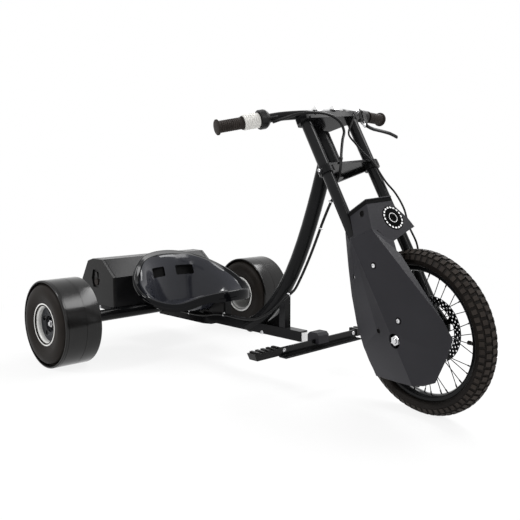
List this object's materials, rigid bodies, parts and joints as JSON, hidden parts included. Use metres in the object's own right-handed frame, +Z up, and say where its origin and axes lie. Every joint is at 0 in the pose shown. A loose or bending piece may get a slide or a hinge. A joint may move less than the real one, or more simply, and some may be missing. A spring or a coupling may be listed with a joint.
{
  "type": "electric drift trike scooter",
  "caption": "Low electric drift trike with bucket seat, spoked chain driven front wheel on a raked fork, hard plastic rear slider wheels and sliding footrest.",
  "frame": {"origin": "middle of the machine's bounding box, on the ground", "axes": "+X forward, +Y to the rider's left, +Z up"},
  "size_m": [1.3552, 0.882, 0.7287],
  "materials": {
    "black_paint": "satin",
    "black_plastic": "satin",
    "charcoal_plastic": "fine grain",
    "seat_plastic": "gloss",
    "slider_plastic": "smooth",
    "tyre": "matt",
    "grip": "matt",
    "white_paint": "gloss",
    "aluminium": "brushed",
    "steel": "bright",
    "dark_steel": "dark",
    "cord": "satin",
    "pale_sleeve": "satin",
    "battery": "wrapped"
  },
  "bodies": {
    "frame": {"main_frame": "black_paint", "headset_upper": "dark_steel", "headset_lower": "dark_steel", "rear_axle": "steel", "rear_axle_nut_right": "steel", "rear_axle_nut_left": "steel", "seat_shell": "seat_plastic", "battery_case": "black_paint", "battery_end_cap_right": "black_plastic", "battery_end_cap_left": "black_plastic", "battery_pack": "battery", "motor_controller": "aluminium", "frame_harness": "cord"},
    "rear_wheel_right": {"rear_tyre_right": "tyre", "rear_slider_sleeve_right": "slider_plastic", "rear_rim_right": "white_paint", "rear_hub_disc_right": "dark_steel", "rear_bearing_set_right": "steel"},
    "rear_wheel_left": {"rear_tyre_left": "tyre", "rear_slider_sleeve_left": "slider_plastic", "rear_rim_left": "white_paint", "rear_hub_disc_left": "dark_steel", "rear_bearing_set_left": "steel"},
    "steering": {"lower_crown": "black_paint", "upper_crown": "black_paint", "fork_leg_left": "black_paint", "fork_leg_right": "black_paint", "handlebar": "black_paint", "bar_clamp_right": "aluminium", "bar_clamp_left": "aluminium", "grip_right": "grip", "grip_left": "grip", "throttle_housing": "black_plastic", "brake_lever_bracket": "black_plastic", "brake_cable": "cord", "control_wires": "cord", "drive_motor": "aluminium", "motor_plate": "black_paint", "drive_chain": "dark_steel", "chain_cover": "charcoal_plastic", "front_axle": "steel", "front_axle_nut": "steel", "brake_caliper": "black_paint"},
    "front_wheel": {"front_tyre": "tyre", "front_rim": "black_paint", "front_hub": "dark_steel", "front_bearing_set": "steel", "wheel_sprocket": "dark_steel", "brake_rotor": "dark_steel"},
    "motor_shaft": {"motor_sprocket": "dark_steel"},
    "throttle": {"throttle_sleeve": "pale_sleeve"},
    "brake_lever": {"brake_lever": "black_paint"},
    "caliper_arm": {"caliper_arm": "steel"},
    "footrest": {"footrest_slider": "aluminium", "footrest_clamp": "charcoal_plastic", "footrest_bar": "black_paint", "foot_peg_right": "black_plastic", "foot_peg_left": "black_plastic"},
    "port_cap": {"charge_port_cap": "grip"},
    "switch": {"power_switch": "black_plastic"}
  },
  "joints": [
    {"name": "steer", "type": "hinge", "parent": "frame", "child": "steering", "pos_m": [0.43652, 0, 0.16343], "axis": [-0.4894, 0, 0.8721], "range_deg": [-25.9, 44.1]},
    {"name": "front_wheel_spin", "type": "hinge", "parent": "steering", "child": "front_wheel", "pos_m": [0.48732, -0.00933, 0.19194], "axis": [0.1379, 0.9874, 0.0774], "continuous": true},
    {"name": "motor_spin", "type": "hinge", "parent": "steering", "child": "motor_shaft", "pos_m": [0.38484, -0.01487, 0.44518], "axis": [0.1379, 0.9874, 0.0774], "continuous": true},
    {"name": "rear_wheel_right_spin", "type": "hinge", "parent": "frame", "child": "rear_wheel_right", "pos_m": [-0.48963, -0.38, 0.127], "axis": [0, 1, 0], "continuous": true},
    {"name": "rear_wheel_left_spin", "type": "hinge", "parent": "frame", "child": "rear_wheel_left", "pos_m": [-0.48963, 0.38, 0.127], "axis": [0, 1, 0], "continuous": true},
    {"name": "throttle_twist", "type": "hinge", "parent": "steering", "child": "throttle", "pos_m": [0.1049, -0.18358, 0.67797], "axis": [-0.3281, -0.9265, -0.1841], "range_deg": [0, 70], "stiffness_Nm_per_rad": 0.3},
    {"name": "lever_pull", "type": "hinge", "parent": "steering", "child": "brake_lever", "pos_m": [0.18634, 0.16122, 0.68124], "axis": [-0.4894, 0, 0.8721], "range_deg": [0, 20], "stiffness_Nm_per_rad": 1},
    {"name": "caliper_arm_turn", "type": "hinge", "parent": "steering", "child": "caliper_arm", "pos_m": [0.42764, 0.05445, 0.24046], "axis": [0.1379, 0.9874, 0.0774], "range_deg": [-0.1, 24.1]},
    {"name": "footrest_reach", "type": "slide", "parent": "frame", "child": "footrest", "axis": [1, 0, 0], "range_m": [-0.02, 0.035]},
    {"name": "port_cap_open", "type": "hinge", "parent": "frame", "child": "port_cap", "pos_m": [-0.59363, -0.204, 0.226], "axis": [-1, 0, 0], "range_deg": [0, 80]},
    {"name": "switch_rock", "type": "hinge", "parent": "frame", "child": "switch", "pos_m": [-0.59363, -0.1991, 0.2375], "axis": [-1, 0, 0], "range_deg": [0, 10]}
  ],
  "couplings": [
    {"joint": "motor_spin", "follows": "front_wheel_spin", "ratio": 4.8889},
    {"joint": "caliper_arm_turn", "follows": "lever_pull", "ratio": 1.2}
  ]
}
